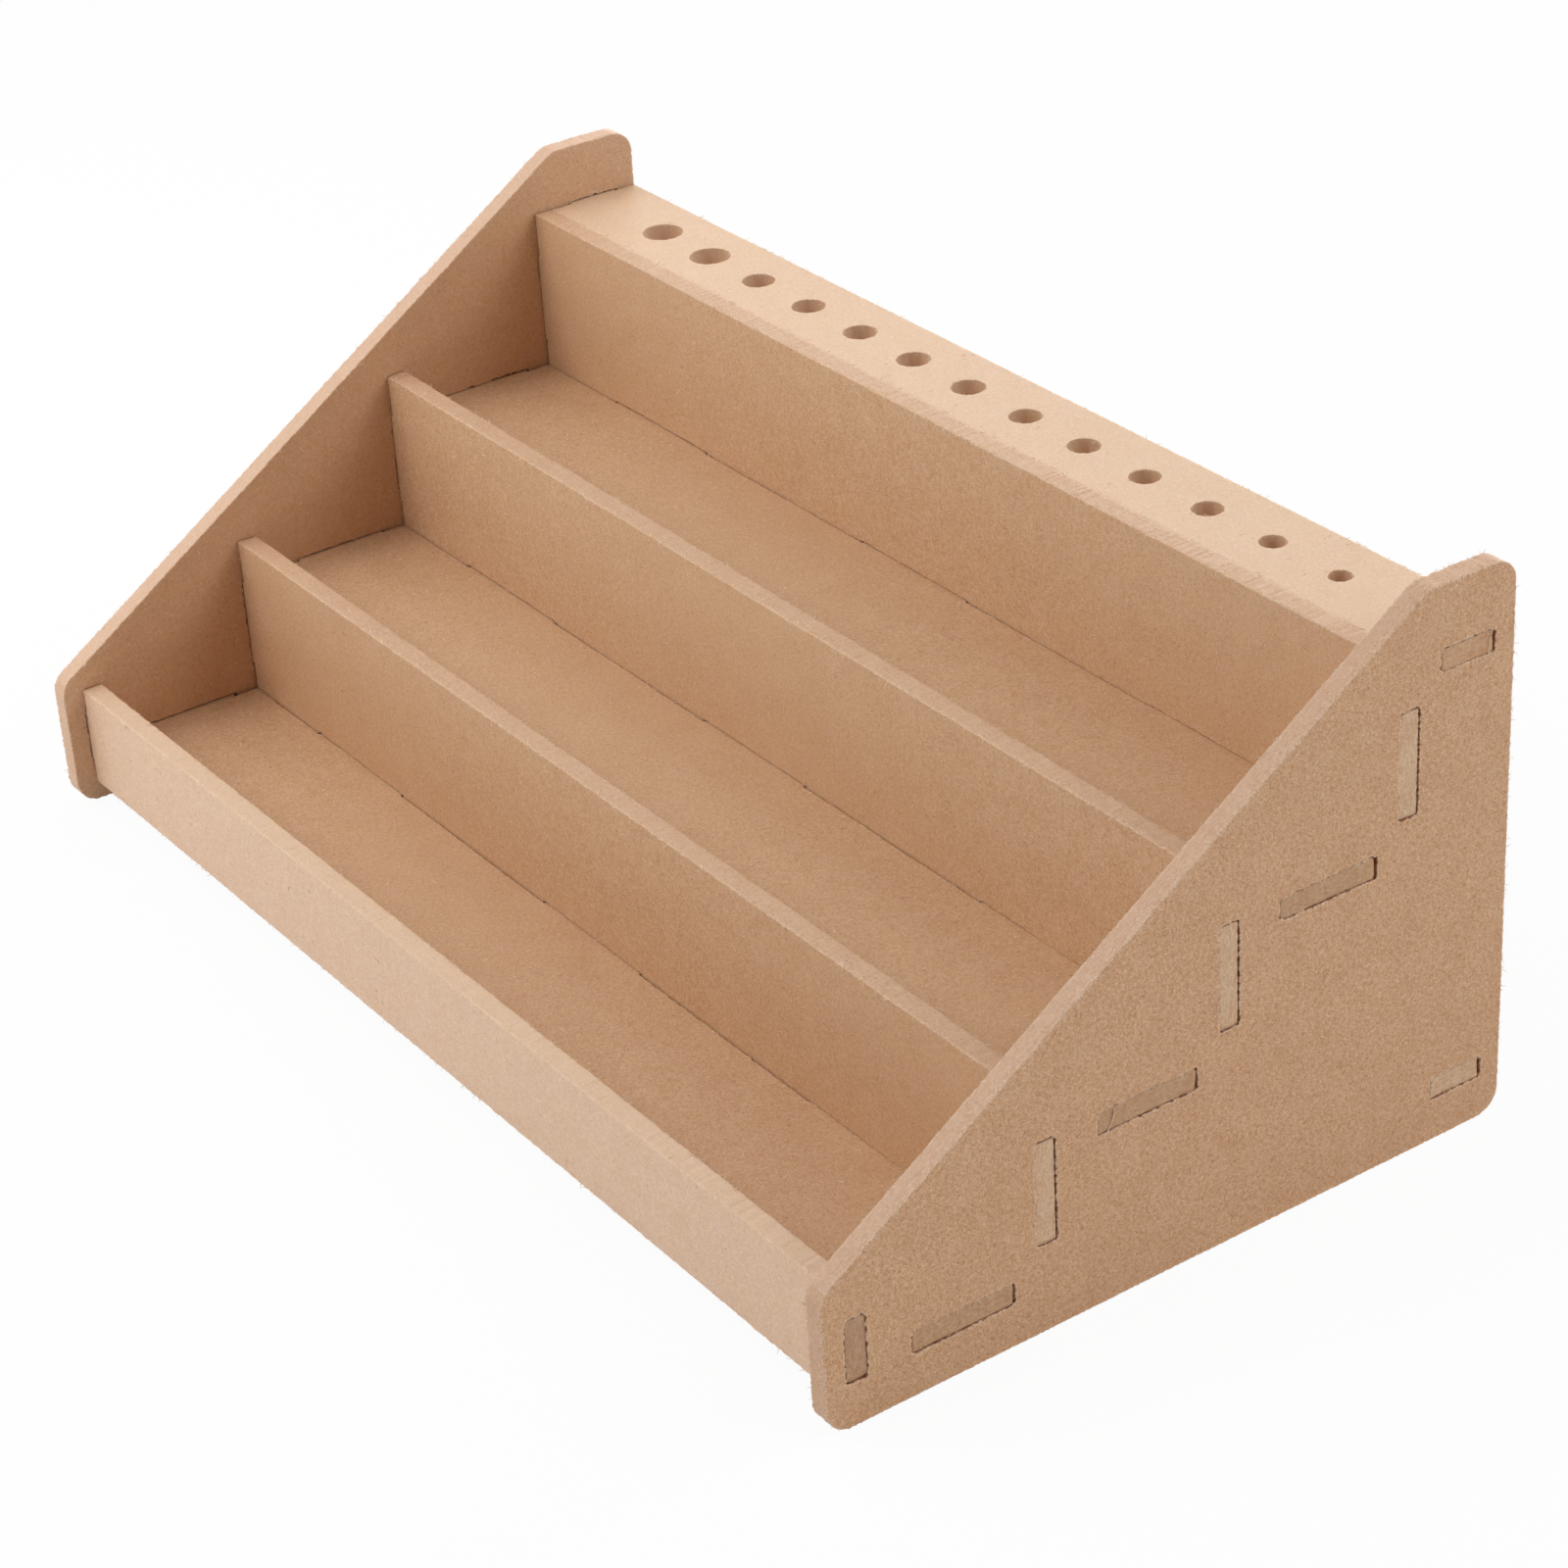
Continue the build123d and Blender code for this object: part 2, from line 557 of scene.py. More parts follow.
@dataclass(frozen=True)
class StudioPaper:
    """White paper that reads as plain white from the camera and keeps a soft shadow."""

    colour: Colour = (0.9, 0.9, 0.9)
    glow_share: float = 0.94

    def material(self) -> bpy.types.Material:
        """Makes the finish.

        Returns:
            The material.
        """
        made = bpy.data.materials.new("studio_paper")
        made.use_nodes = True
        sheet = NodeSheet(made.node_tree)
        paper = sheet.add("ShaderNodeBsdfDiffuse")
        sheet.feed(paper, Color=(*self.colour, 1.0))
        glow = sheet.add("ShaderNodeEmission")
        mixer = sheet.add("ShaderNodeMixShader")
        sheet.put(mixer.inputs[0], sheet.math("MULTIPLY", seen_directly(sheet), self.glow_share))
        sheet.put(mixer.inputs[1], paper.outputs[0])
        sheet.put(mixer.inputs[2], glow.outputs[0])
        sheet.put(sheet.add("ShaderNodeOutputMaterial").inputs["Surface"], mixer.outputs[0])
        return made


def seen_directly(sheet: NodeSheet) -> bpy.types.NodeSocket:
    """Gives 1 for a ray from the camera, off a shiny surface or through a clear one.

    Args:
        sheet: The nodes of a material or a world.

    Returns:
        The socket of 1 or 0.
    """
    rays = sheet.add("ShaderNodeLightPath")
    seen = sheet.math("MAXIMUM", rays.outputs["Is Camera Ray"], rays.outputs["Is Glossy Ray"])
    return sheet.math("MAXIMUM", seen, rays.outputs["Is Transmission Ray"])


@dataclass(frozen=True)
class Lamp:
    """A soft square lamp aimed at the rack; azimuth 0 is in front and 90 to the right."""

    name: str
    azimuth: float
    elevation: float
    power: float
    size: float = 1.2
    distance: float = 2.0

    def build(self, aim: Vector) -> None:
        """Hangs the lamp.

        Args:
            aim: The point it faces.
        """
        data = bpy.data.lights.new(self.name, "AREA")
        data.energy = self.power
        data.size = self.size
        turn, rise = math.radians(self.azimuth), math.radians(self.elevation)
        flat = math.cos(rise)
        away = Vector((math.sin(turn) * flat, -math.cos(turn) * flat, math.sin(rise)))
        lamp = placed(self.name, data)
        lamp.location = aim + away * self.distance
        lamp.rotation_euler = away.to_track_quat("Z", "Y").to_euler()


LAMPS = (
    Lamp("front_high", -20, 45, 3.75, 0.6, 1.0),
    Lamp("front_low", 0, 15, 5.9),
    Lamp("right_low", 118, 22, 5.3),
    Lamp("rear_right", 135, 45, 14.4),
    Lamp("rear_low", 180, 15, 18.5),
    Lamp("rear_left", -135, 15, 9.0),
    Lamp("left_near", -90, 55, 1.51, 0.6, 0.9),
    Lamp("front_left_near", -45, 50, 1.18, 0.6, 0.9),
    Lamp("left_low_near", -65, 20, 1.4, 0.6, 0.9),
)


@dataclass
class Studio:
    """Camera, lamps, background and floor."""

    eye: Vector
    target: Vector
    roll: float
    lens: float
    lamp_aim: Vector
    ambient: float
    sensor_mm: float = 36.0
    nearest: float = 0.05
    floor_half: float = 4.0

    def build(self) -> None:
        """Sets up everything round the rack."""
        self.place_camera()
        for lamp in LAMPS:
            lamp.build(self.lamp_aim)
        self.lay_floor()
        self.light_world()
        bpy.context.scene.view_settings.view_transform = "Standard"

    def place_camera(self) -> None:
        """Puts the camera at the photograph's point of view."""
        data = bpy.data.cameras.new("camera")
        data.lens = self.lens
        data.sensor_width = self.sensor_mm
        data.clip_start = self.nearest
        camera = placed("camera", data)
        aim = (self.target - self.eye).to_track_quat("-Z", "Y")
        camera.rotation_mode = "QUATERNION"
        camera.rotation_quaternion = aim @ Matrix.Rotation(-self.roll, 3, "Z").to_quaternion()
        camera.location = self.eye
        bpy.context.scene.camera = camera

    def lay_floor(self) -> None:
        """Lays a wide sheet of paper under the rack."""
        mesh = bpy.data.meshes.new("floor")
        half = self.floor_half
        corners = [(-half, -half, 0), (half, -half, 0), (half, half, 0), (-half, half, 0)]
        mesh.from_pydata(corners, [], [(0, 1, 2, 3)])
        mesh.materials.append(StudioPaper().material())
        floor = placed("floor", mesh)

    def light_world(self) -> None:
        """Fills the surroundings: plain white to the camera, faint light on the rack."""
        world = bpy.data.worlds.new("studio")
        bpy.context.scene.world = world
        world.use_nodes = True
        sheet = NodeSheet(world.node_tree)
        fill = sheet.add("ShaderNodeBackground")
        sheet.feed(fill, Color=WHITE, Strength=self.ambient)
        backdrop = sheet.feed(sheet.add("ShaderNodeBackground"), Color=WHITE)
        mixer = sheet.add("ShaderNodeMixShader")
        sheet.put(mixer.inputs[0], seen_directly(sheet))
        sheet.put(mixer.inputs[1], fill.outputs[0])
        sheet.put(mixer.inputs[2], backdrop.outputs[0])
        sheet.put(sheet.add("ShaderNodeOutputWorld").inputs["Surface"], mixer.outputs[0])


@dataclass(frozen=True)
class Ring:
    """A line round a board's edge: how far in and down it lies, its marks and how far it strays."""

    inset: float
    depth: float
    cut: float
    rim: float
    stray: float = 1.0


@dataclass
class Routing:
    """How the cutter left the boards' edges, and how the boards fill their joints."""

    ease: float = 0.1 * MM
    worn: float = 0.13 * MM
    turn_share: float = 0.3
    wall: float = 0.8 * MM
    margin: float = 0.7 * MM
    step: float = 0.45 * MM
    wander: float = 0.1 * MM
    wander_length: float = 7 * MM
    ragged: float = 0.28 * MM
    slot_ragged: float = 0.65 * MM
    # How strong the painted shade is in the walls of slots and of bores
    slot_shade: float = 1.0
    bore_shade: float = 0.3
    ragged_length: float = 0.7 * MM
    closing: float = 9 * MM
    swell: float = 0.55 * MM
    reach: float = 0.25 * MM

    def profile(self) -> list[Ring]:
        """Gives the lines that the board's rounded edge is drawn with.

        Returns:
            The rings from the board's face to the wall of its edge.
        """
        turn = self.turn_share * self.worn
        return [
            Ring(inset=self.margin, depth=0, cut=0, rim=0, stray=0),
            Ring(inset=self.worn, depth=0, cut=0, rim=1),
            Ring(inset=turn, depth=turn, cut=0.5, rim=1),
            Ring(inset=0, depth=self.worn, cut=1, rim=0.6),
            Ring(inset=0, depth=self.worn + self.wall, cut=1, rim=0),
        ]

    def shade(self, opening: Opening) -> float:
        """Gives how dark the painted shade in the wall of an opening is, from 0 to 1."""
        return {Opening.SLOT: self.slot_shade, Opening.BORE: self.bore_shade}.get(opening, 0.0)

    def waver(self, place: Vector, opening: Opening) -> float:
        """Gives how far the edge strays outwards at a place.

        Args:
            place: The place on the edge.
            opening: What the edge goes round.

        Returns:
            The distance, negative where it strays into the board.
        """
        slow = noise.noise(place / self.wander_length)
        quick = noise.noise(place / self.ragged_length)
        ragged = self.slot_ragged if opening is Opening.SLOT else self.ragged
        most = self.margin - 2 * self.worn
        return max(-most, min(most, self.wander * slow + ragged * quick - self.ease))


@dataclass
class FibreFuzz:
    """Loose fibres that stand up along a board's edges, made by Geometry Nodes."""

    edge_density: float = 1.9 / MM**2
    stray_density: float = 0.03 / MM**2
    length: float = 1.0 * MM
    radius: float = 0.065 * MM
    least_lean: float = math.radians(45)
    most_lean: float = math.radians(96)
    lowest: float = 1.5 * MM
    sizes: tuple[float, float] = (0.3, 1.5)
    taper: float = 0.7
    bend: tuple[tuple[float, float, float], ...] = ((0, 0, -0.08), (0.05, 0, 0.55), (0.5, 0, 0.85))
    steps: int = 3
    sides: int = 3
    spin_draw: int = 3
    lean_draw: int = 7
    size_draw: int = 13
    tree: bpy.types.NodeTree | None = None

    def inputs(self) -> dict[str, float]:
        """Gives the numbers that are fed to the tree.

        Returns:
            Each number, by the name of its input.
        """
        return {
            "Edge density": self.edge_density,
            "Stray density": self.stray_density,
            "Length": self.length,
            "Radius": self.radius,
            "Least lean": self.least_lean,
            "Most lean": self.most_lean,
            "Lowest": self.lowest,
        }

    def plant(self) -> None:
        """Builds the tree that scatters bent, tapered fibres over a board."""
        self.tree = bpy.data.node_groups.new("fibre_fuzz", "GeometryNodeTree")
        face = self.tree.interface
        kinds = {"Geometry": "Geometry"} | dict.fromkeys(self.inputs(), "Float")
        for name, kind in (kinds | {"Seed": "Int", "Finish": "Material"}).items():
            face.new_socket(name=name, in_out="INPUT", socket_type=f"NodeSocket{kind}")
        face.new_socket(name="Geometry", in_out="OUTPUT", socket_type="NodeSocketGeometry")
        sheet = NodeSheet(self.tree)
        given = sheet.add("NodeGroupInput").outputs
        scatter = self.scatter(sheet, given)
        seed = given["Seed"]
        spin = self.random(sheet, seed, 0.0, math.tau, self.spin_draw)
        lean = self.random(sheet, seed, given["Least lean"], given["Most lean"], self.lean_draw)
        tilt = sheet.add("ShaderNodeCombineXYZ")
        sheet.feed(tilt, X=lean, Z=spin)
        turn = sheet.feed(sheet.add("FunctionNodeEulerToRotation"), Euler=tilt.outputs[0])
        stand = sheet.add("FunctionNodeRotateRotation", rotation_space="LOCAL")
        sheet.feed(stand, Rotation=scatter.outputs["Rotation"], Rotate_By=turn.outputs[0])
        share = self.random(sheet, seed, *self.sizes, self.size_draw)
        size = sheet.math("MULTIPLY", given["Length"], share)
        place = sheet.add("GeometryNodeInstanceOnPoints")
        sheet.feed(place, Points=scatter.outputs["Points"], Instance=self.fibre(sheet, given))
        sheet.feed(place, Rotation=stand.outputs[0], Scale=size)
        real = sheet.feed(sheet.add("GeometryNodeRealizeInstances"), Geometry=place.outputs[0])
        dressed = sheet.add("GeometryNodeSetMaterial")
        sheet.feed(dressed, Geometry=real.outputs[0], Material=given["Finish"])
        sheet.put(sheet.add("NodeGroupOutput").inputs[0], dressed.outputs[0])

    def scatter(self, sheet: NodeSheet, given: bpy.types.NodeOutputs) -> bpy.types.Node:
        """Strews points over the board, thickest along its edges.

        Args:
            sheet: The tree's nodes.
            given: The tree's inputs.

        Returns:
            The node that gives the points and their turns.
        """
        rim = sheet.add("GeometryNodeInputNamedAttribute", data_type="FLOAT")
        sheet.feed(rim, Name="rim")
        near = sheet.math("POWER", rim.outputs["Attribute"], RIM_FALLOFF)
        density = sheet.math("MULTIPLY", near, given["Edge density"])
        density = sheet.math("ADD", density, given["Stray density"])
        height = sheet.add("ShaderNodeSeparateXYZ")
        sheet.put(height.inputs[0], sheet.add("GeometryNodeInputPosition").outputs[0])
        clear = sheet.math("GREATER_THAN", height.outputs["Z"], given["Lowest"])
        density = sheet.math("MULTIPLY", density, clear)
        points = sheet.add("GeometryNodeDistributePointsOnFaces", distribute_method="RANDOM")
        return sheet.feed(points, Mesh=given["Geometry"], Density=density, Seed=given["Seed"])

    def random(
        self, sheet: NodeSheet, seed: object, low: object, high: object, draw: int
    ) -> bpy.types.NodeSocket:
        """Gives each fibre its own number.

        Args:
            sheet: The tree's nodes.
            seed: The tree's seed.
            low: The least value.
            high: The greatest value.
            draw: Added to the seed, so that two numbers differ.

        Returns:
            The number's socket.
        """
        node = sheet.add("FunctionNodeRandomValue", data_type="FLOAT")
        sheet.put(node.inputs[2], low)
        sheet.put(node.inputs[3], high)
        sheet.put(node.inputs["Seed"], sheet.math("ADD", seed, draw))
        return node.outputs[1]

    def fibre(self, sheet: NodeSheet, given: bpy.types.NodeOutputs) -> bpy.types.NodeSocket:
        """Makes one bent fibre of unit length, thinner at its tip.

        Args:
            sheet: The tree's nodes.
            given: The tree's inputs.

        Returns:
            The fibre's mesh socket.
        """
        bend = sheet.add("GeometryNodeCurveQuadraticBezier")
        start, middle, end = self.bend
        sheet.feed(bend, Resolution=self.steps, Start=start, Middle=middle, End=end)
        thick = sheet.math("DIVIDE", given["Radius"], given["Length"])
        round_profile = sheet.add("GeometryNodeCurvePrimitiveCircle")
        sheet.feed(round_profile, Resolution=self.sides, Radius=thick)
        done = sheet.add("GeometryNodeSplineParameter").outputs["Factor"]
        taper = sheet.math("SUBTRACT", 1.0, sheet.math("MULTIPLY", done, self.taper))
        skin = sheet.add("GeometryNodeCurveToMesh")
        sheet.feed(skin, Curve=bend.outputs[0], Profile_Curve=round_profile.outputs[0], Scale=taper)
        sheet.feed(skin, Fill_Caps=True)
        return skin.outputs[0]

    def grow(
        self, board: bpy.types.Object, finish: bpy.types.Material, seed: int
    ) -> bpy.types.Object:
        """Grows fibres on a board.

        Args:
            board: The finished board.
            finish: The fibres' finish.
            seed: Fixes where they stand.

        Returns:
            The fibres, as one plain mesh object.
        """
        modifier = board.modifiers.new("fuzz", "NODES")
        modifier.node_group = self.tree
        values = self.inputs() | {"Seed": seed, "Finish": finish}
        for item in self.tree.interface.items_tree:
            if item.in_out == "INPUT" and item.name in values:
                modifier[item.identifier] = values[item.name]
        evaluated = board.evaluated_get(bpy.context.evaluated_depsgraph_get())
        mesh = bpy.data.meshes.new_from_object(evaluated)
        board.modifiers.remove(modifier)
        mesh.name = board.name.replace("_board", "_fuzz")
        return placed(mesh.name, mesh)


@dataclass
class Board:
    """One routed board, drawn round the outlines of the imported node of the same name.

    Its seat is how far it is shifted in its slots, its left seat the same for its left end where
    the two differ, and its shoulder the gap at the side panels, below zero where it reaches in.
    """

    node: str
    finish: Fibreboard
    routing: Routing
    seat: Vector = Vector((0, 0, 0))
    left_seat: Vector | None = None
    shoulder: float = 0.0
    tab_reach: float = field(default=0.0, init=False)

    def outlines(self) -> list[Outline]:
        """Reads the outlines of the board's face, with the board on the left of each.

        Returns:
            The closed outlines in the board's plane.
        """
        axis = self.finish.axis
        work = bmesh.new()
        work.from_mesh(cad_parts[self.node].data)
        bmesh.ops.remove_doubles(work, verts=work.verts, dist=WELD)
        ahead = {}
        for face in work.faces:
            if face.normal[axis.value] < FACING:
                continue
            for loop in face.loops:
                if loop.link_loop_radial_next.face.normal[axis.value] < FACING:
                    ahead[loop.vert] = loop.link_loop_next.vert
        outlines = []
        while ahead:
            vert = next(iter(ahead))
            outline = []
            while vert in ahead:
                outline.append(Vector((vert.co[axis.across], vert.co[axis.along])))
                vert = ahead.pop(vert)
            outlines.append(self.swollen(self.stepped(outline)))
        work.free()
        return outlines

    def stepped(self, outline: Outline) -> Outline:
        """Splits an outline's long sides into short steps.

        Args:
            outline: The outline's corners.

        Returns:
            The outline with points between its corners.
        """
        points = []
        # Points nearer to a corner than this would cross one another when they move in
        clear = 1.2 * self.routing.margin
        for here, there in zip(outline, outline[1:] + outline[:1]):
            length = (there - here).length
            points.append(here)
            if length < 2 * clear:
                continue
            start, end = here.lerp(there, clear / length), there.lerp(here, clear / length)
            count = max(1, round((end - start).length / self.routing.step))
            points += [start.lerp(end, k / count) for k in range(count + 1)]
        return points

    def swollen(self, outline: Outline) -> Outline:
        """Lets the tabs fill their slots' round ends, and sets the gap at the panels' faces.

        Args:
            outline: The outline's points.

        Returns:
            The outline with its tabs and shoulders moved.
        """
        if self.finish.axis is SheetAxis.X:
            return outline
        reach, cross = (0, 1) if self.finish.axis is SheetAxis.Z else (1, 0)
        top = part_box(self.node)[1].z
        for point in outline:
            if abs(abs(point[reach]) - PANEL_INSIDE) < TOUCH:
                share = 1.0
                if self.finish.axis is SheetAxis.Y:
                    share = min(1.0, (top - point[cross]) / self.routing.closing)
                point[reach] -= math.copysign(self.shoulder * share, point[reach])
        tabs = [p for p in outline if abs(p[reach]) > PANEL_INSIDE + TAB_START]
        if not tabs:
            return outline
        low, high = min(p[cross] for p in tabs), max(p[cross] for p in tabs)
        tip = max(p[reach] for p in tabs)
        for point in tabs:
            point[cross] += self.routing.swell * (2 * point[cross] - low - high) / (high - low)
            if abs(point[reach]) > tip - TOUCH:
                point[reach] += math.copysign(self.routing.reach, point[reach])
        return outline

    def seated(self, place: Vector) -> Vector:
        """Moves a place as far as the board is shifted in its slots.

        Args:
            place: The place on the board as it was drawn.

        Returns:
            The place on the board as it sits.
        """
        if self.left_seat is None:
            return place + self.seat
        return place + self.left_seat.lerp(self.seat, 0.5 + 0.5 * place.x / PANEL_INSIDE)

    def outward(self, outline: Outline) -> Outline:
        """Finds the way out of the board at each point of an outline.

        Args:
            outline: The outline's points.

        Returns:
            For each point, the shift that moves both its sides out by one unit.
        """
        shifts = []
        befores, afters = outline[-1:] + outline[:-1], outline[1:] + outline[:1]
        for before, here, after in zip(befores, outline, afters):
            sides = [(here - before).normalized(), (after - here).normalized()]
            first, second = [Vector((side.y, -side.x)) for side in sides]
            shifts.append((first + second) / (1 + first.dot(second)))
        return shifts

    def opening(self, outline: Outline) -> Opening:
        """Tells what an outline goes round.

        Args:
            outline: The outline's points.

        Returns:
            A slot, a bore, or no opening where it is the board's outside.
        """
        turning = sum(here.cross(there) for here, there in zip(outline, outline[1:] + outline[:1]))
        if turning >= 0 or self.finish.axis is SheetAxis.Y:
            return Opening.NONE
        return Opening.SLOT if self.finish.axis is SheetAxis.X else Opening.BORE

    def build(self) -> bpy.types.Object:
        """Makes the visible board.

        Returns:
            The board's object, at the origin, with its place in its mesh.
        """
        axis = self.finish.axis
        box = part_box(self.node)
        low, high = (corner[axis.value] for corner in box)
        self.tab_reach = box[1].x - 2 * self.routing.worn
        half = self.routing.profile()
        levels = [(ring, high - ring.depth) for ring in half]
        levels += [(ring, low + ring.depth) for ring in half[::-1]]
        work = bmesh.new()
        marks = {name: work.verts.layers.float.new(name) for name in ("cut", "rim", "tab", "crevice_shade")}
        tops, bottoms = [], []
        for outline in self.outlines():
            shifts = self.outward(outline)
            opening = self.opening(outline)
            rings = []
            for ring, level in levels:
                spots = zip(outline, shifts)
                row = [self.corner(work, marks, p, s, ring, level, opening) for p, s in spots]
                rings.append(row)
            for upper, lower in zip(rings, rings[1:]):
                for k in range(len(upper)):
                    work.faces.new((upper[k - 1], lower[k - 1], lower[k], upper[k]))
            tops.append(rings[0])
            bottoms.append(rings[-1])
        self.cap(work, tops)
        self.cap(work, bottoms)
        bmesh.ops.recalc_face_normals(work, faces=work.faces)
        for face in work.faces:
            face.smooth = True
        mesh = bpy.data.meshes.new(f"{self.node}_board")
        work.to_mesh(mesh)
        work.free()
        return placed(mesh.name, mesh)

    def cap(self, work: bmesh.types.BMesh, rims: list[list[bmesh.types.BMVert]]) -> None:
        """Fills a face of the board up to its innermost rings.

        Args:
            work: The mesh that is being built.
            rims: The ring round the board and the ring round each opening.
        """
        axis = self.finish.axis
        corners, sides, owners = [], [], []
        for index, rim in enumerate(rims):
            first = len(corners)
            corners += rim
            owners += [index] * len(rim)
            sides += [(first + k, first + (k + 1) % len(rim)) for k in range(len(rim))]
        flat = [Vector((vert.co[axis.across], vert.co[axis.along])) / MM for vert in corners]
        outer = owners[flat.index(max(flat, key=lambda p: p.x))]
        filled = geometry.delaunay_2d_cdt(flat, sides, [], INSIDE_THE_SIDES, FILL_TOLERANCE)
        triangles, sources = filled[2], filled[3]
        openings = [{index} for index in range(len(rims)) if index != outer]
        for triangle in triangles:
            found = [sources[k][0] for k in triangle]
            # The ring round an opening has no dents, so a triangle with all its corners on it
            # lies in the opening
            if {owners[k] for k in found} in openings:
                continue
            work.faces.new([corners[k] for k in found])

    def corner(
        self,
        work: bmesh.types.BMesh,
        marks: dict[str, object],
        point: Vector,
        shift: Vector,
        ring: Ring,
        level: float,
        opening: Opening,
    ) -> bmesh.types.BMVert:
        """Places one point of a ring round the board.

        Args:
            work: The mesh that is being built.
            marks: The mesh's named marks.
            point: The point of the outline, in the board's plane.
            shift: The way out of the board there.
            ring: The ring it belongs to.
            level: The ring's place along the board's thickness.
            opening: What the outline goes round.

        Returns:
            The new vertex.
        """
        axis = self.finish.axis
        place = Vector((0, 0, 0))
        place[axis.value] = level
        place[axis.across], place[axis.along] = point
        strayed = self.routing.waver(place, opening) * ring.stray
        place[axis.across], place[axis.along] = point + shift * (strayed - ring.inset)
        vert = work.verts.new(self.seated(place))
        vert.co.z = max(vert.co.z, CAD_BOX[0].z)
        fitted = axis is not SheetAxis.X and abs(place.x) > PANEL_INSIDE - JOINT_START
        on_tab_end = fitted and abs(place.x) > self.tab_reach
        vert[marks["cut"]] = ring.cut
        vert[marks["rim"]] = ring.rim * self.finish.rim_fuzz_and_highlight
        vert[marks["tab"]] = ring.cut * on_tab_end
        # Painted shade in the walls of slots and bores and on board ends inside the panels
        shade = self.routing.shade(opening)
        vert[marks["crevice_shade"]] = ring.cut * max(shade, fitted and not on_tab_end)
        return vert


@dataclass(frozen=True)
class Curl:
    """A sliver of skin that the cutter left standing at the end of a slot in the right panel.

    Its route gives the depth and the height of points on the panel, and is in millimetres like its
    radius. Its thinning gives the share of the radius at its two ends.
    """

    name: str
    route: tuple[tuple[float, float], ...]
    radius: float = 0.14
    thinning: tuple[float, float] = (0.5, 0.3)
    steps: int = 6
    order: int = 4

    def build(self) -> bpy.types.Object:
        """Makes the sliver as a thin tube that lies on the panel's outer face.

        Returns:
            The sliver, as a plain mesh object.
        """
        face = CAD_BOX[1].x / MM
        line = bpy.data.curves.new(self.name, "CURVE")
        line.dimensions = "3D"
        line.bevel_depth = self.radius * MM
        line.bevel_resolution = 1
        line.resolution_u = self.steps
        path = line.splines.new("NURBS")
        path.points.add(len(self.route) - 1)
        path.use_endpoint_u = True
        path.order_u = self.order
        for point, (depth, height) in zip(path.points, self.route):
            point.co = (*(Vector((face, depth, height)) * MM), 1.0)
        path.points[0].radius, path.points[-1].radius = self.thinning
        drawn = placed(f"{self.name}_line", line)
        evaluated = drawn.evaluated_get(bpy.context.evaluated_depsgraph_get())
        sliver = placed(self.name, bpy.data.meshes.new_from_object(evaluated))
        bpy.data.objects.remove(drawn)
        return sliver


CURLS = (
    Curl("middle_slot_curl", ((-16.1, 45.9), (-16.2, 43.9), (-17.0, 41.8), (-18.6, 40.3))),
    Curl("rail_slot_curl", ((82.3, 117.9), (81.3, 116.5), (81.6, 114.6), (80.9, 112.4))),
    Curl("lower_slot_curl", ((-62.9, 10.5), (-63.6, 9.6), (-65.2, 9.9), (-67.4, 9.0))),
)


@dataclass
class SubAssembly:
    """Boards that share a job in the rack."""

    routing: Routing
    fuzz: FibreFuzz
    bristle: bpy.types.Material

    def boards(self) -> list[Board]:
        """Gives the sub-assembly's boards."""
        raise NotImplementedError

    def build(self) -> None:
        """Builds each board, dresses it and grows its fuzz."""
        finishes = {}
        for seed, board in enumerate(self.boards()):
            piece = board.build()
            if board.finish not in finishes:
                finishes[board.finish] = board.finish.material()
            self.dress(piece, finishes[board.finish], board.node)
            self.dress(self.fuzz.grow(piece, self.bristle, seed), None, board.node)
            piece.modifiers.new("normals", "WEIGHTED_NORMAL")

    def dress(
        self, piece: bpy.types.Object, finish: bpy.types.Material | None, node: str
    ) -> None:
        """Gives a piece its finish and its place in the frame.

        Args:
            piece: The finished piece.
            finish: Its material, or None where it has one.
            node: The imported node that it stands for.
        """
        if finish:
            piece.data.materials.append(finish)
        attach(piece, BODY)
        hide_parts(node)
        log.info("built %s with %d faces", piece.name, len(piece.data.polygons))


@dataclass
class SidePanels(SubAssembly):
    """The two panels that carry every other board in their slots."""

    left: Fibreboard = Fibreboard(
        "left", SheetAxis.X, face=linear(209, 165, 126), core=linear(209, 170, 139), contrast=0.4
    )
    # Its outer face's colour and strong grain contrast are painted for the raking light on that
    # face
    right: Fibreboard = Fibreboard(
        "right",
        SheetAxis.X,
        face=linear(217, 168, 124),
        core=linear(198, 157, 124),
        inner_face=linear(209, 168, 129),
        contrast=1.0,
        rim_fuzz_and_highlight=1.0,
    )

    def boards(self) -> list[Board]:
        """Gives the two side panels."""
        sides = (("left_side", self.left), ("right_side", self.right))
        return [Board(node, finish, self.routing) for node, finish in sides]

    def build(self) -> None:
        """Builds the panels and the slivers that stand on the right one."""
        super().build()
        for curl in CURLS:
            self.dress(curl.build(), self.bristle, "right_side")


@dataclass
class FrontLip(SubAssembly):
    """The low front wall, painted paler: a painted highlight standing in for the glare on its lit
    faces.
    """

    finish: Fibreboard = Fibreboard(
        "lip",
        SheetAxis.Y,
        face=linear(228, 192, 161),
        core=linear(217, 183, 152),
        tab_end=linear(186, 141, 104),
        contrast=0.35,
    )

    def boards(self) -> list[Board]:
        """Gives the lip."""
        return [Board("front_lip", self.finish, self.routing, Vector((0, 0.15, 0)) * MM)]


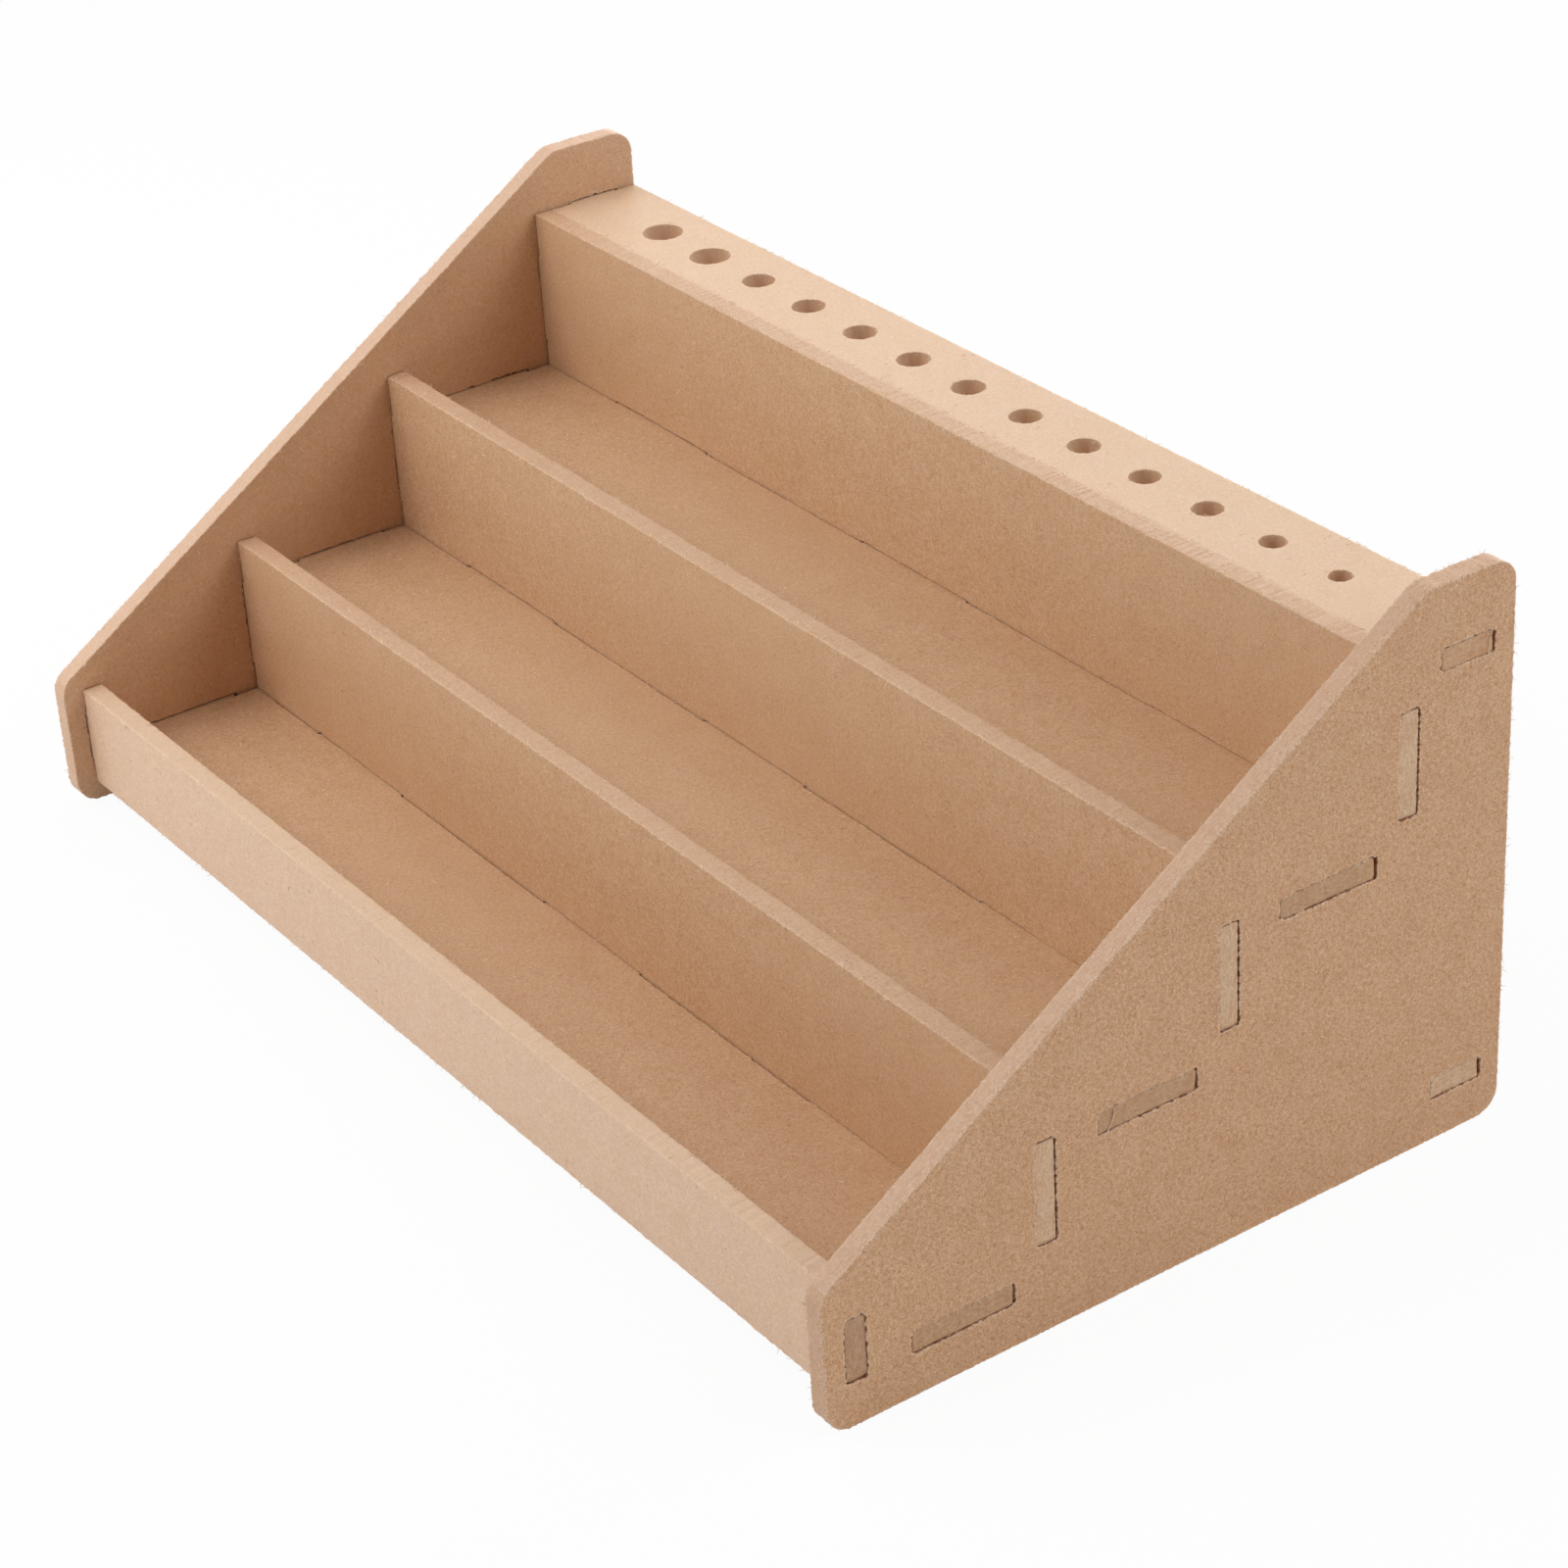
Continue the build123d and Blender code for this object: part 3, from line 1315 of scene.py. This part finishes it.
@dataclass
class Trays(SubAssembly):
    """The three shelves and the uprights behind them."""

    floor: Fibreboard = Fibreboard("shelves", SheetAxis.Z)
    wall: Fibreboard = Fibreboard(
        "uprights", SheetAxis.Y, core=linear(201, 161, 127), tab_end=linear(220, 181, 143)
    )
    floor_gap: float = 0.75 * MM
    wall_gap: float = 0.32 * MM

    def boards(self) -> list[Board]:
        """Gives the shelves and the uprights.

        Returns:
            The boards from the lowest tier up, each shelf before its upright.
        """
        pairs = []
        floor_seats = Vector((0, -0.36, 0.06)) * MM, Vector((0, -0.2, -0.2)) * MM
        wall_seats = Vector((0, -0.16, 0)) * MM, Vector((0, 0.03, 0)) * MM
        for tier in TIERS:
            floor = (self.floor, self.routing, *floor_seats, self.floor_gap)
            wall = (self.wall, self.routing, *wall_seats, self.wall_gap)
            pairs += [Board(f"{tier}_shelf", *floor), Board(f"{tier}_upright", *wall)]
        return pairs


@dataclass
class BrushStand(SubAssembly):
    """The rail with the brush holes and the stretcher under it."""

    # The rail is painted paler, a painted highlight standing in for the glare on its lit top
    rail: Fibreboard = Fibreboard(
        "rail",
        SheetAxis.Z,
        face=linear(222, 186, 152),
        core=linear(217, 188, 158),
        tab_end=linear(206, 157, 115),
        contrast=0.3,
    )
    stretcher: Fibreboard = Fibreboard("stretcher", SheetAxis.Z, tab_end=linear(217, 176, 138))
    rail_gap: float = -0.5 * MM

    def boards(self) -> list[Board]:
        """Gives the rail and the stretcher.

        Returns:
            The two boards, the rail first.
        """
        rail_seat, stretcher_seat = Vector((0, -0.25, -0.2)) * MM, Vector((0, -0.3, 0.1)) * MM
        return [
            Board("brush_rail", self.rail, self.routing, rail_seat, shoulder=self.rail_gap),
            Board("rear_stretcher", self.stretcher, self.routing, stretcher_seat),
        ]


def main() -> None:
    """Builds the studio and every board of the rack."""
    logging.basicConfig(level=logging.INFO, format="%(message)s")
    Studio(
        eye=Vector((679.3, -429.7, 501.5)) * MM,
        target=Vector((15.4, 8.3, 45.5)) * MM,
        roll=math.radians(3.65),
        lens=93.5,
        lamp_aim=Vector((0, 0, 60)) * MM,
        ambient=0.02,
    ).build()
    routing = Routing()
    fuzz = FibreFuzz()
    fuzz.plant()
    bristle = Bristle().material()
    for part in (SidePanels, FrontLip, Trays, BrushStand):
        part(routing, fuzz, bristle).build()


if __name__ == "__main__":
    main()
